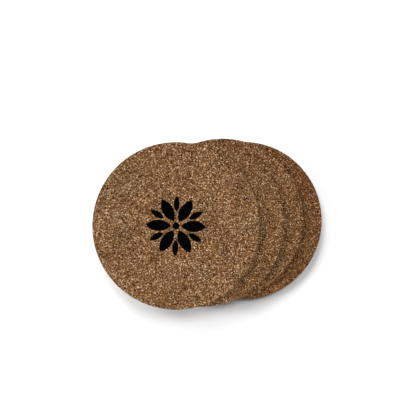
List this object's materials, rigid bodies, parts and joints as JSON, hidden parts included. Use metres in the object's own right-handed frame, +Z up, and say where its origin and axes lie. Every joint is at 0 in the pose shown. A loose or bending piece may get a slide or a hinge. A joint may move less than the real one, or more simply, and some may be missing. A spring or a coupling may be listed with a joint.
{
  "type": "drink coaster set",
  "caption": "Fanned pile of loose round cork drink coasters with lightly eased edges and a black rosette printed flush at the middle of each upper face.",
  "frame": {"origin": "middle of the underside of the box round the fanned pile, on the table", "axes": "+X along the fan, from the top coaster towards the bottom one; +Z up, out of the printed faces"},
  "size_m": [0.134, 0.0988, 0.016],
  "materials": {
    "cork_bottom": "sanded agglomerated cork, the darkest and reddest of the set",
    "cork_second": "sanded agglomerated cork",
    "cork_third": "sanded agglomerated cork",
    "cork_top": "sanded agglomerated cork, the palest of the set",
    "ink": "black screen-printing ink soaked into the cork"
  },
  "bodies": {
    "bottom": {"bottom_coaster": "cork_bottom", "bottom_print": "ink"},
    "second": {"second_coaster": "cork_second", "second_print": "ink"},
    "third": {"third_coaster": "cork_third", "third_print": "ink"},
    "top": {"top_coaster": "cork_top", "top_print": "ink"}
  },
  "joints": [
    {"name": "second_lift", "type": "slide", "parent": "bottom", "child": "second", "axis": [0, 0, 1], "range_m": [0, 0.04]},
    {"name": "third_lift", "type": "slide", "parent": "second", "child": "third", "axis": [0, 0, 1], "range_m": [0, 0.04]},
    {"name": "top_lift", "type": "slide", "parent": "third", "child": "top", "axis": [0, 0, 1], "range_m": [0, 0.04]}
  ]
}
